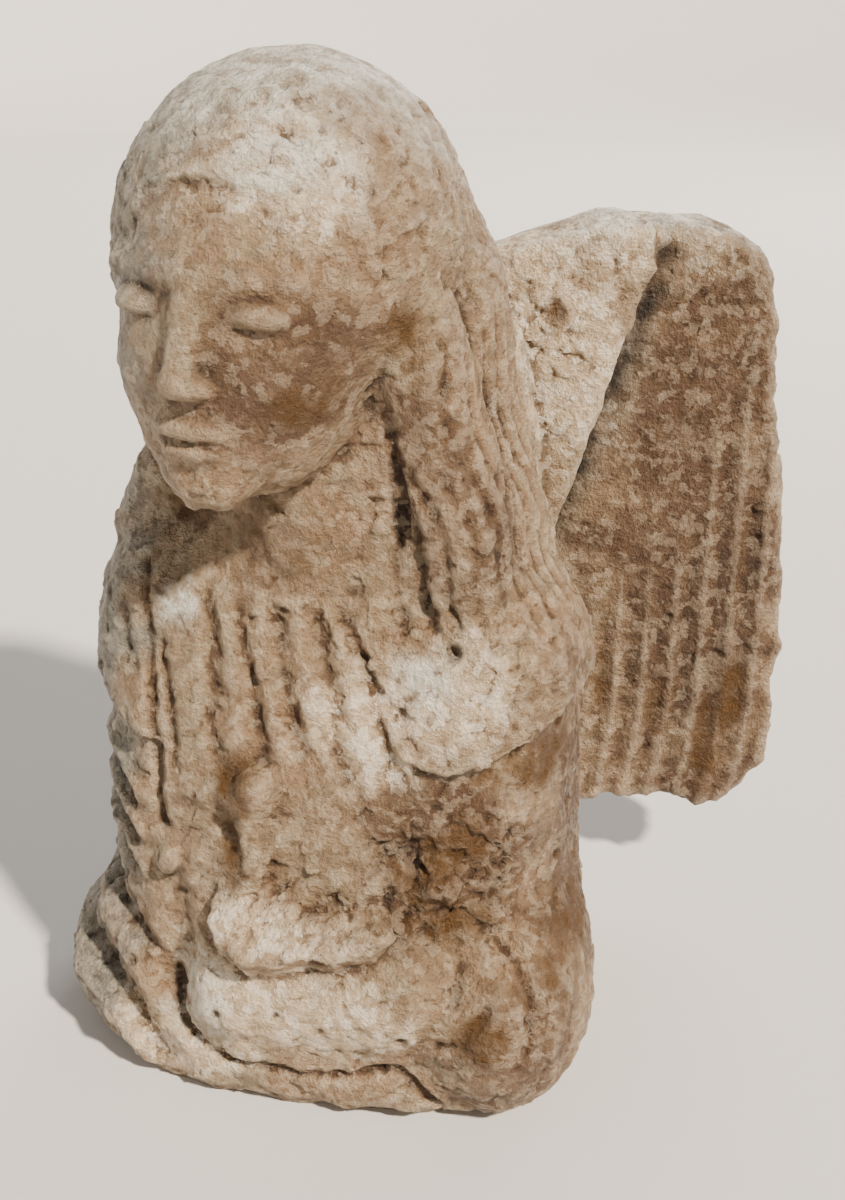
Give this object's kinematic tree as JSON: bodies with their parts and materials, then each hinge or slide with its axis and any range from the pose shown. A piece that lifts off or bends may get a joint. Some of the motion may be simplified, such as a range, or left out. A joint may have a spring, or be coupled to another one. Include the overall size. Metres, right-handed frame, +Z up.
{
  "type": "praying angel sculpture",
  "caption": "Half-length praying angel of weathered limestone on a cloud base, with long hair, a pleated tunic, broken hands and one fluted wing behind the shoulder.",
  "frame": {"origin": "middle of the figure's flat underside, on the floor", "axes": "+Z up; the figure faces -Y; the wing is at +X"},
  "size_m": [0.3621, 0.2859, 0.4999],
  "materials": {
    "limestone": "weathered, matt, pitted"
  },
  "bodies": {
    "root": {"praying_angel": "limestone"}
  },
  "joints": []
}
